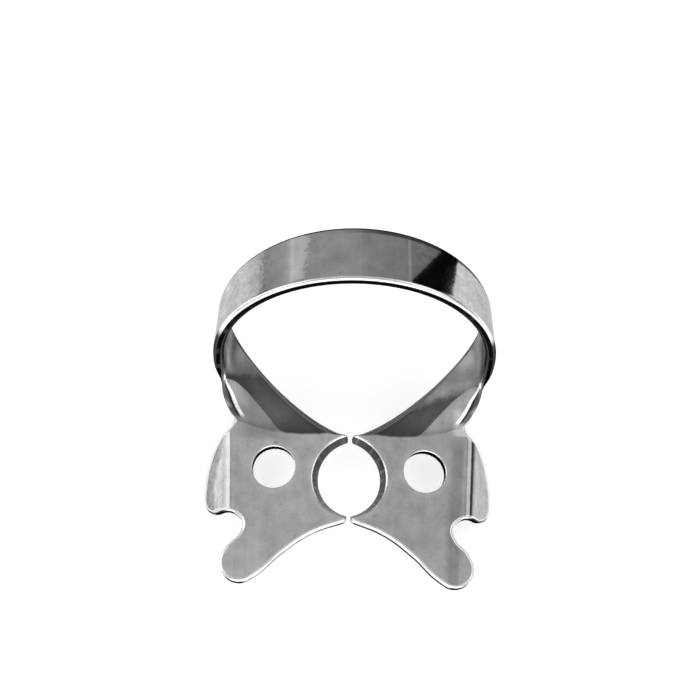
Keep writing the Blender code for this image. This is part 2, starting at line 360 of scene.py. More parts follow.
def leg_and_bow_tree(sizes, material):
    tree = bpy.data.node_groups.new("leg_and_bow", "GeometryNodeTree")
    tree.interface.new_socket("Geometry", in_out="OUTPUT", socket_type="NodeSocketGeometry")
    for name, value in sizes.items():
        kind = "NodeSocketVector" if isinstance(value, Vector) else "NodeSocketFloat"
        socket = tree.interface.new_socket(name, in_out="INPUT", socket_type=kind)
        socket.default_value = value
    given = tree.nodes.new("NodeGroupInput").outputs
    grid = tree.nodes.new("GeometryNodeMeshGrid")
    fill(tree, grid.inputs, (1.0, 1.0, COLUMNS + 1, ROWS + 1))
    parts = parts_of(tree, tree.nodes.new("GeometryNodeInputPosition").outputs[0])
    # v runs across the strip from its front edge, and t along it from the foot. The
    # outermost columns are wider, so that the rounded edges have room in them.
    column = maths(tree, "ADD", parts["X"], 0.5)
    v = maths(tree, "MULTIPLY_ADD", maths(tree, "SINE", maths(tree, "MULTIPLY", column, 2 * math.pi)),
              END_COLUMNS, column)
    t = maths(tree, "ADD", parts["Y"], 0.5)
    # How far below the widest place, 1 at the foot, and how far above it, 1 at the top.
    below = maths(tree, "MAXIMUM", maths(tree, "SUBTRACT", 1.0, maths(tree, "MULTIPLY", t, 2.0)), 0.0)
    above = maths(tree, "MAXIMUM", maths(tree, "SUBTRACT", maths(tree, "MULTIPLY", t, 2.0), 1.0), 0.0)
    is_above = maths(tree, "GREATER_THAN", above, 0.0)

    # Front edge
    angle = maths(tree, "SUBTRACT", maths(tree, "MULTIPLY", above, math.pi / 2),
                  maths(tree, "MULTIPLY", below, given["Foot angle"]))
    reach = maths(tree, "ADD", maths(tree, "MULTIPLY", is_above, given["Rise above"]),
                  maths(tree, "MULTIPLY", maths(tree, "SUBTRACT", 1.0, is_above), given["Fall below"]))
    along = maths(tree, "MULTIPLY_ADD", reach, maths(tree, "SINE", angle), given["Foot to widest"])
    front_x = maths(tree, "MULTIPLY", given["Front half width"], maths(tree, "COSINE", angle))
    bent = maths(tree, "MINIMUM", maths(tree, "DIVIDE", along, given["Bend radius"]), given["Lean"])
    straight = maths(tree, "SUBTRACT", along, maths(tree, "MULTIPLY", bent, given["Bend radius"]))
    front_y = maths(tree, "MULTIPLY_ADD", given["Bend radius"], maths(tree, "SINE", bent),
                    maths(tree, "MULTIPLY", straight, maths(tree, "COSINE", given["Lean"])))
    dip = maths(tree, "SUBTRACT", 1.0, maths(tree, "COSINE", bent))
    front_z = maths(tree, "MULTIPLY_ADD", given["Bend radius"], dip,
                    maths(tree, "MULTIPLY", straight, maths(tree, "SINE", given["Lean"])))
    foot = parts_of(tree, given["Foot"])
    front = point_of(tree, front_x, maths(tree, "ADD", front_y, foot["Y"]),
                     maths(tree, "ADD", front_z, foot["Z"]))

    # Rear edge
    s = maths(tree, "SUBTRACT", 1.0, below)
    sweep = scaled(tree, given["Prong tip"], maths(tree, "POWER", below, 3.0))
    for point, weight in (
        (given["Prong handle"], maths(tree, "MULTIPLY", maths(tree, "MULTIPLY", s, 3.0),
                                      maths(tree, "POWER", below, 2.0))),
        (given["High handle"], maths(tree, "MULTIPLY", maths(tree, "MULTIPLY", below, 3.0),
                                     maths(tree, "POWER", s, 2.0))),
        (given["Rear widest"], maths(tree, "POWER", s, 3.0)),
    ):
        sweep = vectors(tree, "ADD", sweep, scaled(tree, point, weight))
    quarter = maths(tree, "MULTIPLY", above, math.pi / 2)
    climb = maths(tree, "MULTIPLY", given["Rear rise"], maths(tree, "SINE", quarter))
    inwards = maths(tree, "MULTIPLY", given["Rear half width"],
                    maths(tree, "SUBTRACT", maths(tree, "COSINE", quarter), 1.0))
    lift = point_of(tree, inwards, maths(tree, "MULTIPLY", climb, given["Rear slope"]), climb)
    rear = vectors(tree, "ADD", sweep, scaled(tree, lift, is_above))

    # The sheet between the edges sags towards the forceps hole at its foot.
    halfway = scaled(tree, vectors(tree, "ADD", front, rear), 0.5)
    sag = scaled(tree, given["Bend sag"], maths(tree, "POWER", below, SAG_FADE))
    halfway = vectors(tree, "ADD", halfway, sag)
    w = maths(tree, "SUBTRACT", 1.0, v)
    turned = maths(tree, "SUBTRACT", 1.0, maths(tree, "MULTIPLY", v, 2.0))
    at_front = maths(tree, "MULTIPLY", w, turned)
    at_middle = maths(tree, "MULTIPLY", maths(tree, "MULTIPLY", v, 4.0), w)
    at_rear = maths(tree, "MULTIPLY", v, maths(tree, "MULTIPLY", turned, -1.0))
    where = vectors(tree, "ADD", scaled(tree, front, at_front), scaled(tree, halfway, at_middle))
    where = vectors(tree, "ADD", where, scaled(tree, rear, at_rear))

    # The finish needs to know the leg from the jaw, and how far across the strip a point is.
    known = grid.outputs["Mesh"]
    for name, value in (("on_leg", 1.0), ("across", v)):
        store = tree.nodes.new("GeometryNodeStoreNamedAttribute")
        sockets = [store.inputs[socket] for socket in ("Name", "Geometry", "Value")]
        fill(tree, sockets, (name, known, value))
        known = store.outputs[0]
    setter = tree.nodes.new("GeometryNodeSetPosition")
    tree.links.new(known, setter.inputs["Geometry"])
    tree.links.new(where, setter.inputs["Position"])
    realize = tree.nodes.new("GeometryNodeRealizeInstances")
    tree.links.new(setter.outputs[0], realize.inputs[0])
    finish = tree.nodes.new("GeometryNodeSetMaterial")
    finish.inputs["Material"].default_value = material
    tree.links.new(realize.outputs[0], finish.inputs["Geometry"])
    end = tree.nodes.new("NodeGroupOutput")
    tree.links.new(finish.outputs[0], end.inputs[0])
    return tree


def leg_and_bow(material):
    """The middle surface of the right leg and half the bow, as a plain mesh."""
    foot = on_jaw(*neck)
    bend_rise = LEG_BEND * (1 - math.cos(LEAN))
    total = LEG_BEND * LEAN + (APEX_Z - foot.z - bend_rise) / math.sin(LEAN)
    foot_angle = math.acos(foot.x / BOW_HALF)
    flat_tip = prong_tip(REAR_TIP_LEFT, 1)
    widest = Vector((REAR_HALF, *REAR_WIDEST))
    sizes = {
        "Front half width": BOW_HALF,
        "Foot": foot,
        "Foot angle": foot_angle,
        "Foot to widest": total - BOW_RISE,
        "Fall below": (total - BOW_RISE) / math.sin(foot_angle),
        "Rise above": BOW_RISE,
        "Bend radius": LEG_BEND,
        "Lean": LEAN,
        "Prong tip": on_jaw(*flat_tip),
        "Prong handle": on_jaw(*(flat_tip + SWEEP_TIP)),
        "High handle": widest - Vector((0.0, REAR_SLOPE, 1.0)) * SWEEP_DOWN,
        "Rear widest": widest,
        "Rear half width": REAR_HALF,
        "Rear rise": REAR_RISE,
        "Rear slope": REAR_SLOPE,
        "Bend sag": on_jaw(*BEND_SAG),
    }
    tree = leg_and_bow_tree(sizes, material)
    holder = bpy.data.objects.new("leg_and_bow", bpy.data.meshes.new("leg_and_bow"))
    scene.collection.objects.link(holder)
    bowed = holder.modifiers.new("Leg and bow", "NODES")
    bowed.node_group = tree
    for item in tree.interface.items_tree:
        if item.in_out == "INPUT":
            bowed[item.identifier] = sizes[item.name]
    graph = bpy.context.evaluated_depsgraph_get()
    made = bpy.data.meshes.new_from_object(holder.evaluated_get(graph))
    bpy.data.objects.remove(holder)
    return made


def jaw_outline():
    """Outline of the right jaw in the flat, from the neck round to the front prong."""
    knots = [neck] + [neck + Vector(place) for place in SIDE_WING]
    knots += [neck + Vector(place) for place in (WING_CORNER, WING_ROOT, WING_SIDE)]
    for degrees in FRONT_WING_KNOTS:
        angle = math.radians(degrees)
        around = Vector((math.cos(angle), math.sin(angle))) * FRONT_WING_RADIUS
        knots.append(neck + Vector(FRONT_WING) + around)
    tip = prong_tip(FRONT_TIP_LEFT, -1)
    wing_end = knots[-1]
    for share, bulge in reversed(FRONT_EDGE):
        knots.append(tip.lerp(wing_end, share) + Vector((0.0, bulge)))
    knots.append(tip)
    curve = bpy.data.curves.new("jaw_outline", "CURVE")
    curve.dimensions = "3D"
    curve.resolution_u = OUTLINE_STEPS
    spline = curve.splines.new("BEZIER")
    spline.bezier_points.add(len(knots) - 1)
    for knot, place in zip(spline.bezier_points, knots):
        knot.co = place.to_3d()
        knot.handle_left_type = knot.handle_right_type = "AUTO"
    first = spline.bezier_points[0]
    first.handle_left_type = first.handle_right_type = "FREE"
    first.handle_right = (neck.x, neck.y - NECK_RUN, 0.0)
    first.handle_left = (neck.x, neck.y + NECK_RUN, 0.0)
    guide = bpy.data.objects.new("jaw_outline", curve)
    scene.collection.objects.link(guide)
    bpy.context.view_layer.update()
    flat = [vertex.co.copy() for vertex in guide.to_mesh().vertices]
    guide.to_mesh_clear()
    bpy.data.objects.remove(guide)
    return flat


fold_start = neck + Vector(FOLD_REAR)
fold_end = neck + Vector(FOLD_FRONT)
fold_out = Vector((fold_start.y - fold_end.y, fold_end.x - fold_start.x)).normalized()
wing_corner = neck + Vector(WING_CORNER)


def folded(flat):
    """Where a point of the flat blank lands once its side wing is bent down."""
    place = Vector((flat.x, flat.y))
    beyond = (place - fold_start).dot(fold_out)
    if beyond <= 0 or flat.y < wing_corner.y:
        return on_jaw(flat.x, flat.y)
    bent = min(beyond / FOLD_RADIUS, FOLD_ANGLE)
    straight = beyond - bent * FOLD_RADIUS
    kept = FOLD_RADIUS * math.sin(bent) + straight * math.cos(bent)
    drop = FOLD_RADIUS * (1 - math.cos(bent)) + straight * math.sin(bent)
    place = place - fold_out * (beyond - kept)
    return on_jaw(place.x, place.y, -drop)


def flat_jaw(bend_line):
    """The right jaw in the flat, cut along the lines where its side wing folds."""
    jaw = bmesh.new()
    jaw.faces.new([jaw.verts.new(point) for point in jaw_outline() + bend_line])
    corner = wing_corner.to_3d()
    root = Vector((-WING_CORNER[1], WING_CORNER[0], 0.0)).normalized()
    bmesh.ops.bisect_plane(
        jaw, geom=jaw.verts[:] + jaw.edges[:] + jaw.faces[:], dist=TOUCH,
        plane_co=corner, plane_no=root,
    )
    crossings = []
    for k in range(FOLD_STEPS + 1):
        middles = [(face, face.calc_center_median() - corner) for face in jaw.faces]
        wing = [face for face, centre in middles if centre.dot(root) > 0 and centre.y > 0]
        edges = {edge for face in wing for edge in face.edges}
        verts = {vertex for face in wing for vertex in face.verts}
        place = fold_start + fold_out * (FOLD_RADIUS * FOLD_ANGLE * k / FOLD_STEPS)
        made = bmesh.ops.bisect_plane(
            jaw, geom=list(verts) + list(edges) + wing, dist=TOUCH,
            plane_co=place.to_3d(), plane_no=fold_out.to_3d(),
        )
        crossings += [item for item in made["geom_cut"] if isinstance(item, bmesh.types.BMVert)]
    # An outline point that crowds a fold line or the neck would pinch the rounded edge there.
    crowding = [
        vertex for vertex in jaw.verts
        if vertex not in crossings and len(vertex.link_edges) == 2 and (
            any((vertex.co - other.co).length < FOLD_CLEAR for other in crossings)
            or (vertex.co.x > neck.x - TOUCH and TOUCH < (vertex.co.xy - neck).length < NECK_CLEAR)
        )
    ]
    bmesh.ops.dissolve_verts(jaw, verts=crowding)
    return jaw


def half_sheet(bow):
    """Middle surface of the right half: the leg and bow, and the jaw with its folded wing."""
    bm = bmesh.new()
    bm.from_mesh(bow)
    bm.verts.ensure_lookup_table()
    lowest_row = sorted(
        (vertex for vertex in bm.verts if abs(vertex.co.dot(on_jaw(0, 0, 1.0))) < ON_BEND
         and vertex.co.y <= neck.y + ON_BEND),
        key=lambda vertex: vertex.co.x,
    )
    bend_line = []
    for vertex in lowest_row[:-1]:
        bend_line.append(Vector((vertex.co.dot(on_jaw(1.0, 0.0)), vertex.co.y, 0.0)))
    jaw = flat_jaw(bend_line)
    for vertex in jaw.verts:
        vertex.co = folded(vertex.co)
    placed = {vertex: bm.verts.new(vertex.co) for vertex in jaw.verts}
    part_of_jaw = bm.faces.layers.int.new("part_of_jaw")
    for face in jaw.faces:
        bm.faces.new([placed[vertex] for vertex in face.verts])[part_of_jaw] = 1
    jaw.free()
    bmesh.ops.remove_doubles(bm, verts=bm.verts[:], dist=SHEET_WELD)
    bmesh.ops.recalc_face_normals(bm, faces=bm.faces[:])
    mesh = bpy.data.meshes.new("clamp_sheet")
    bm.to_mesh(mesh)
    bm.free()
    return mesh


def round_profile(radius, taper, rounding):
    """Half section of a cutter with rounded rims, from below to above: pairs of radius and height."""
    half = SHEET / 2
    slope = math.tan(taper)
    far = half + CUTTER_REACH
    low_radius = radius - SHEET * slope
    rim = []
    for k in range(RIM_STEPS + 1):
        angle = RIM_FROM + (math.pi / 2 - RIM_FROM) * k / RIM_STEPS
        rim.append((rounding * (1 - math.sin(angle)), half - rounding * (1 - math.cos(angle))))
    profile = [(0.0, -far), (low_radius + rounding * CUTTER_FLARE, -far)]
    profile += [(low_radius + (half - height) * slope + out, -height) for out, height in rim]
    profile += [(radius - (half - height) * slope + out, height) for out, height in reversed(rim)]
    return profile + [(radius + rounding * CUTTER_FLARE, far), (0.0, far)]


def turned_cutter(name, centre, profile, rounding, sides, materials):
    """A turned cutter square to the right jaw, kept to its own side of the middle plane."""
    bm = bmesh.new()
    rim = [bm.verts.new((radius, 0.0, height)) for radius, height in profile]
    edges = [bm.edges.new(pair) for pair in zip(rim, rim[1:])]
    bmesh.ops.spin(
        bm, geom=rim + edges, cent=(0, 0, 0), axis=(0, 0, 1), angle=2 * math.pi,
        steps=sides, use_merge=True,
    )
    bmesh.ops.remove_doubles(bm, verts=bm.verts[:], dist=CUTTER_WELD)
    for face in bm.faces:
        face.smooth = True
        face.material_index = int(abs(face.calc_center_median().z) < SHEET / 2 - rounding * RIM_SHARE)
    bm.transform(Matrix.Translation(on_jaw(*centre)) @ Matrix.Rotation(JAW_SLOPE, 4, "Y"))
    made = bmesh.ops.bisect_plane(
        bm, geom=bm.verts[:] + bm.edges[:] + bm.faces[:], dist=TOUCH,
        plane_co=(0, 0, 0), plane_no=(1, 0, 0), clear_inner=True,
    )
    open_edges = [item for item in made["geom_cut"] if isinstance(item, bmesh.types.BMEdge)]
    if open_edges:
        bmesh.ops.edgeloop_fill(bm, edges=open_edges)
    bmesh.ops.recalc_face_normals(bm, faces=bm.faces[:])
    cutters = []
    for ending, scale in (("right", 1), ("left", -1)):
        mesh = bpy.data.meshes.new(f"{name}_{ending}")
        bm.to_mesh(mesh)
        if scale < 0:
            mesh.transform(Matrix.Scale(-1, 4, (1, 0, 0)))
            mesh.flip_normals()
        for material in materials:
            mesh.materials.append(material)
        cutter = bpy.data.objects.new(f"{name}_{ending}", mesh)
        scene.collection.objects.link(cutter)
        cutters.append(cutter)
    bm.free()
    return cutters


def unfold_slivers(mesh):
    """Evens out the small faces that fold over where a rounded edge turns in tightly."""
    bm = bmesh.new()
    bm.from_mesh(mesh)
    for _ in range(UNFOLD_PASSES):
        folds = [edge for edge in bm.edges if edge.calc_face_angle(0.0) > FOLDED_OVER]
        corners = {
            vertex for edge in folds for vertex in edge.verts
            if max(other.calc_length() for other in vertex.link_edges) < SLIVER_REACH
        }
        bmesh.ops.smooth_vert(
            bm, verts=sorted(corners, key=lambda vertex: vertex.index), factor=0.5,
            use_axis_x=True, use_axis_y=True, use_axis_z=True,
        )
    bm.to_mesh(mesh)
    bm.free()


def keep_flats_flat(mesh):
    """Shades each flat face of the jaws and wings as one plane, out of which the rounded edges turn."""
    jaw_up = on_jaw(0, 0, 1.0)
    wing_up = (jaw_up * math.cos(FOLD_ANGLE) + on_jaw(*fold_out) * math.sin(FOLD_ANGLE)).normalized()
    normals = [vertex.normal for vertex in mesh.vertices]
    for face, marked in zip(mesh.polygons, mesh.attributes["part_of_jaw"].data):
        if face.material_index or not marked.value:
            continue
        side = -1 if face.center.x < 0 else 1
        centre = Vector((face.center.x * side, face.center.y, face.center.z))
        place = Vector((centre.dot(on_jaw(1.0, 0.0)), centre.y))
        beyond = (place - fold_start).dot(fold_out)
        if beyond < 0 or centre.y < wing_corner.y:
            up = jaw_up
        elif beyond > (FOLD_RADIUS + SHEET / 2) * math.sin(FOLD_ANGLE):
            up = wing_up
        else:
            continue
        up = Vector((up.x * side, up.y, up.z))
        turned = face.normal.angle(up)
        if min(turned, math.pi - turned) > FLAT_WITHIN:
            continue
        for index in face.vertices:
            normals[index] = up if turned < math.pi / 2 else -up
    mesh.normals_split_custom_set_from_vertices(normals)


# Finish of the steel
# The clamp is tumbled to a satin with fine streaks from front to back. Its stamped faces and the wall of
# the notch are coloured dark, as painted shade, and the notch wall keeps its grinding marks.
# Places are in millimetres: x to the right, out from the middle, y to the back, z up.
BOW_MIDDLE = (0.0, 7.0, 6.0)  # what the inner faces look at
MOTTLE_SCALE = 0.8
FINE_SCALE = 6.0
SPECK_SCALE = 1.7
STREAK_STRETCH = (2.6, 0.14, 0.14)
UNEVEN_SCALE = 2.4
UNEVEN_HEIGHT = 1.6e-6
FINE_HEIGHT = 0.35e-6


def smooth(tree, value, low, high):
    """0 at low and 1 at high, eased; low may be the larger."""
    node = tree.nodes.new("ShaderNodeMapRange")
    node.interpolation_type = "SMOOTHSTEP"
    fill(tree, node.inputs, (value, low, high))
    return node.outputs[0]


def noise(tree, place, scale, detail=2.0):
    """Noise from about -1 to 1, with its scale in cycles to the millimetre."""
    node = tree.nodes.new("ShaderNodeTexNoise")
    tree.links.new(place, node.inputs["Vector"])
    node.inputs["Scale"].default_value = scale
    node.inputs["Detail"].default_value = detail
    return maths(tree, "MULTIPLY_ADD", node.outputs[0], 4.0, -2.0)


def product(tree, *values):
    total = values[0]
    for value in values[1:]:
        total = maths(tree, "MULTIPLY", total, value)
    return total


def between(tree, value, low, low_whole, high_whole, high):
    """1 from low_whole to high_whole, eased to 0 at low and at high."""
    return product(tree, smooth(tree, value, low, low_whole), smooth(tree, value, high, high_whole))


def beside(tree, value, at, far, near):
    """1 within near of a place, eased to 0 at far from it."""
    return smooth(tree, maths(tree, "ABSOLUTE", maths(tree, "SUBTRACT", value, at)), far, near)


def more(tree, amount, mask):
    """1 where the mask is 0, and 1 plus the amount where it is 1."""
    return maths(tree, "MULTIPLY_ADD", mask, amount, 1.0)


def less(tree, amount, mask):
    """1 where the mask is 0, and 1 less the amount where it is 1."""
    return more(tree, -amount, mask)


def mixed(tree, first, second, share):
    """The first where the share is 0, and the second where it is 1."""
    return maths(tree, "MULTIPLY_ADD", share, maths(tree, "SUBTRACT", second, first), first)


def by_side(tree, is_right, left, right):
    """One number on the left of the clamp and another on its right."""
    return maths(tree, "MULTIPLY_ADD", is_right, right - left, left)


def attribute(tree, name):
    node = tree.nodes.new("ShaderNodeAttribute")
    node.attribute_name = name
    return node.outputs["Fac"]


def looks_inwards(tree, where, place):
    """How far a face turns to the middle of the bow: 1 if it looks straight at it, -1 if away."""
    inwards = vectors(tree, "NORMALIZE", vectors(tree, "SUBTRACT", BOW_MIDDLE, place))
    return vectors(tree, "DOT_PRODUCT", inwards, where.outputs["Normal"])


def front_lip(tree, out, y):
    """The far end of each front wing, where the edge gets painted shade."""
    return product(tree, smooth(tree, out, 7.4, 7.8), smooth(tree, y, -8.2, -8.5))


def tumbled_grain():
    """The marks that tumbling leaves: mottling, streaks, specks and a fine unevenness."""
    tree = bpy.data.node_groups.new("tumbled_grain", "ShaderNodeTree")
    for name in ("Mottling", "Streaks", "Specks"):
        tree.interface.new_socket(name, in_out="INPUT", socket_type="NodeSocketFloat")
    for name in ("Tone", "Roughness", "Height"):
        tree.interface.new_socket(name, in_out="OUTPUT", socket_type="NodeSocketFloat")
    given = tree.nodes.new("NodeGroupInput").outputs
    where = tree.nodes.new("ShaderNodeTexCoord")
    place = scaled(tree, where.outputs["Object"], 1 / MM)
    drawn_out = vectors(tree, "MULTIPLY", place, STREAK_STRETCH)
    cloudy = noise(tree, place, MOTTLE_SCALE, 4.0)
    streaky = noise(tree, drawn_out, 1.0, 3.0)
    fine = noise(tree, place, FINE_SCALE)
    speck = smooth(tree, noise(tree, place, SPECK_SCALE, 1.0), 0.95, 1.25)
    tone = maths(tree, "MULTIPLY_ADD", cloudy, given["Mottling"], 1.0)
    tone = maths(tree, "MULTIPLY_ADD", streaky, given["Streaks"], tone)
    tone = maths(tree, "MULTIPLY_ADD", fine, 0.05, tone)
    tone = maths(tree, "SUBTRACT", tone, maths(tree, "MULTIPLY", speck, given["Specks"]))
    rough = maths(tree, "MULTIPLY_ADD", cloudy, 0.02, maths(tree, "MULTIPLY", fine, 0.01))
    height = maths(tree, "MULTIPLY", noise(tree, place, UNEVEN_SCALE), UNEVEN_HEIGHT)
    height = maths(tree, "MULTIPLY_ADD", fine, FINE_HEIGHT, height)
    end = tree.nodes.new("NodeGroupOutput")
    fill(tree, end.inputs, (tone, rough, height))
    return tree


grain = tumbled_grain()


def steel_material(name, mottling, streaks, specks):
    """A metal material with the grain in it, and what its own marks are built from."""
    material = bpy.data.materials.new(name)
    material.use_nodes = True
    tree = material.node_tree
    shader = tree.nodes["Principled BSDF"]
    shader.inputs["Metallic"].default_value = 1.0
    marks = tree.nodes.new("ShaderNodeGroup")
    marks.node_tree = grain
    fill(tree, marks.inputs, (mottling, streaks, specks))
    bump = tree.nodes.new("ShaderNodeBump")
    bump.inputs["Distance"].default_value = 1.0
    tree.links.new(marks.outputs["Height"], bump.inputs["Height"])
    tree.links.new(bump.outputs[0], shader.inputs["Normal"])
    where = tree.nodes.new("ShaderNodeTexCoord")
    place = scaled(tree, where.outputs["Object"], 1 / MM)
    return material, tree, shader, marks.outputs, where, place


def coat(tree, shader, marks, tone, rough):
    """Gives the metal its tone and roughness, with the grain over both."""
    tree.links.new(product(tree, marks["Tone"], tone), shader.inputs["Base Color"])
    tree.links.new(maths(tree, "ADD", marks["Roughness"], rough), shader.inputs["Roughness"])


# Sheet
# The pressed faces are satin all over. Painted shade darkens the inner faces of the legs and the crease at
# the wings' fold, and the bow carries two fine lines among painted reflections and shade.
SATIN = 0.60
SATIN_ROUGHNESS = 0.14
BOW_ROUGHNESS = 0.09
LEG_ROUGHER = 0.20
SHIN_ROUGHER = 0.34
SHEET_TINT = (0.6, 0.6, 0.6, 1.0)
# Painted light on the left of the clamp and painted shade on its right.
SIDE_TONE = (1.07, 0.98)  # left and right, as for the wings' marks
# These numbers, down to the shin's, set the painted shade on the inner faces of the legs and bow.
LEG_DARK = 0.15
LEG_UPPER_SHADE = 0.36
SHIN_FROM = 5.42  # how far out the line where the leg leaves the jaw begins to climb
SHIN_SLOPE = 0.74
UP_LEG = (0.96, 0.28)  # the way up a leg, as shares of y and z
RIGHT_SLANT = (-0.34, 3.62)  # how much sooner the dark ends on the right: for each millimetre out, and at 0
DARK_TO, UPPER_SHADE_FROM = 6.35, 7.35
LEFT_FRONT_GAIN = 0.8
RIGHT_GAIN, RIGHT_REAR_GAIN = 0.30, 0.50
RIGHT_TOP_DARKER = 0.30
# Painted shade on the front of the legs' bends and beside the left leg's root, and a painted highlight
# beside the right one.
SHIN_DARKER = 0.60
LEFT_ROOT_DIMMER = 0.34
RIGHT_ROOT_GLOW = 1.0
# A painted band with lines of painted shade and painted highlight low on the legs' front edges.
BAND_DARKER, LINE_DARKER, LINE_BRIGHTER = 0.65, 0.80, 2.1
# Painted shade on the folds and wings, and the darker outer wings and jaw beside the fold.
FOLD_X = 8.84  # from the middle, where the wing's fold begins
FOLD_TURN = 0.033  # how far the fold leans out towards the back
CREASE_AT = 0.42  # from where the fold begins
CREASE = (0.22, 0.40)
OUTER_WING_DARKER = (0.40, 0.05)
STRIP = (0.14, 0.35)
BESIDE_FOLD_DARKER = 0.28
RIGHT_WING_DARKER = 0.13
FRONT_WINGS_PALER = 0.10
PEEL_TONE = 0.18
PEEL_HEIGHT = 3.2e-6
# Painted highlight round the rims of the holes and notch.
RIM_HIGHLIGHT_GAIN = 0.16
RIM_HIGHLIGHT_REACH = (
    # centre, radius to which the painted highlight is whole and the one where it has faded
    ((HOLE_AT / MM, 0.0), 1.62, 2.2),
    (NOTCH_CENTRE / MM, 3.30, 3.9),
)
BOW_LINES = ((3.5, 0.16, 0.45), (-4.95, 0.22, 0.16))  # x, half width, gain
# Painted light and painted shade on the bow.
LIGHT_PATCH_GAIN = 0.25
FAR_RIM_DARKER = 0.75
BOW_LEFT_DARKER, BOW_RIGHT_DARKER, BOW_PATCH_DARKER = 0.24, 0.20, 0.32
BOW_TWIST = (0.28, 0.0, -0.12)
END_TWIST = 0.22

steel, tree, shader, marks, where, place = steel_material("satin_spring_steel", 0.15, 0.05, 0.30)
x, y, z = parts_of(tree, place)
faces = parts_of(tree, where.outputs["Normal"])
out = maths(tree, "ABSOLUTE", x)
is_right = maths(tree, "GREATER_THAN", x, 0.0)
is_left = maths(tree, "SUBTRACT", 1.0, is_right)
above_jaw = maths(tree, "ADD", maths(tree, "MULTIPLY", out, math.sin(JAW_SLOPE)),
                  maths(tree, "MULTIPLY_ADD", z, math.cos(JAW_SLOPE), -SHEET / 2 / MM))
faces_up = smooth(tree, faces["Z"], 0.2, 0.4)
on_leg = attribute(tree, "on_leg")
v = attribute(tree, "across")  # 0 at the front edge of the leg and bow, 1 at the rear

# Painted shade darkens the inner faces of the legs and bow above the line where they leave the jaws:
# darkest low down, less dark higher up.
leaves_at = maths(tree, "MULTIPLY_ADD", out, SHIN_SLOPE, -SHIN_SLOPE * SHIN_FROM)
leaves_at = maths(tree, "SMOOTH_MAX", leaves_at, 0.0, 0.6)
lift = maths(tree, "SUBTRACT", above_jaw, leaves_at)
lift = maths(tree, "MULTIPLY_ADD", noise(tree, place, 1.2), 0.015, lift)
leg = product(
    tree, smooth(tree, looks_inwards(tree, where, place), -0.30, -0.10), smooth(tree, on_leg, 0.06, 0.18),
    smooth(tree, lift, 0.0, 0.07),
)
up_leg = maths(tree, "MULTIPLY_ADD", y, UP_LEG[0], maths(tree, "MULTIPLY", z, UP_LEG[1]))
up_leg = maths(tree, "MULTIPLY_ADD", noise(tree, place, 1.4, 3.0), 0.20, up_leg)
slant = maths(tree, "MULTIPLY_ADD", out, *RIGHT_SLANT)
up_leg = maths(tree, "MULTIPLY_ADD", is_right, slant, up_leg)
left_root = maths(tree, "MULTIPLY", is_left, smooth(tree, out, 7.0, 7.8))
paler_low = product(tree, smooth(tree, lift, 0.9, 0.1), maths(tree, "MULTIPLY_ADD", left_root, 0.25, 0.28))
dark = maths(tree, "MULTIPLY", less(tree, 1.0, paler_low), LEG_DARK)
gain = more(tree, LEFT_FRONT_GAIN, product(tree, is_left, smooth(tree, v, 0.60, 0.35)))
right_gain = maths(tree, "MULTIPLY_ADD", smooth(tree, v, 0.55, 0.85), RIGHT_REAR_GAIN, RIGHT_GAIN)
gain = maths(tree, "MULTIPLY_ADD", is_right, right_gain, gain)
right_top = product(tree, is_right, smooth(tree, up_leg, 9.0, 10.2))
upper_shade = product(tree, gain, less(tree, RIGHT_TOP_DARKER, right_top), LEG_UPPER_SHADE)
inside = mixed(tree, dark, upper_shade, smooth(tree, up_leg, DARK_TO, UPPER_SHADE_FROM))

# Painted shade darkens the front of each leg's bend, and beside the roots of the legs the left jaw gets
# painted shade and the right jaw a painted highlight.
shin = product(tree, smooth(tree, on_leg, 0.18, 0.30), smooth(tree, faces["Y"], -0.2, -0.45), faces_up)
left_dim = product(
    tree, is_left, smooth(tree, y, 1.7, 2.8), between(tree, out, 4.6, 5.8, 7.2, 8.9), faces_up,
)
right_glow = product(
    tree, is_right, smooth(tree, out, 7.4, 8.3), between(tree, y, 2.8, 3.2, 4.3, 4.8), faces_up,
)
outside = product(
    tree, less(tree, SHIN_DARKER, shin), less(tree, LEFT_ROOT_DIMMER, left_dim),
    more(tree, RIGHT_ROOT_GLOW, right_glow),
)
leg_tone = mixed(tree, outside, inside, leg)

# Low on the leg its front edge turns outwards. Its thickness there is painted on as a darker grey band,
# with a line of painted shade and a line of painted highlight.
off_edge = maths(tree, "ADD", v, maths(tree, "MULTIPLY_ADD", smooth(tree, z, 1.0, 2.5), 0.16, -0.21))
low_edge = product(
    tree, smooth(tree, y, 3.7, 4.1), smooth(tree, z, 2.6, 2.3), smooth(tree, faces["Z"], 0.1, 0.3),
    smooth(tree, on_leg, 0.5, 0.9),
)
band = product(tree, smooth(tree, off_edge, 0.01, -0.01), low_edge)
dark_line = product(tree, beside(tree, off_edge, -0.02, 0.035, 0.01), low_edge)
white_line = product(tree, beside(tree, off_edge, 0.045, 0.045, 0.025), low_edge)
leg_tone = product(
    tree, leg_tone, less(tree, BAND_DARKER, band), less(tree, LINE_DARKER, dark_line),
    more(tree, LINE_BRIGHTER, white_line),
)

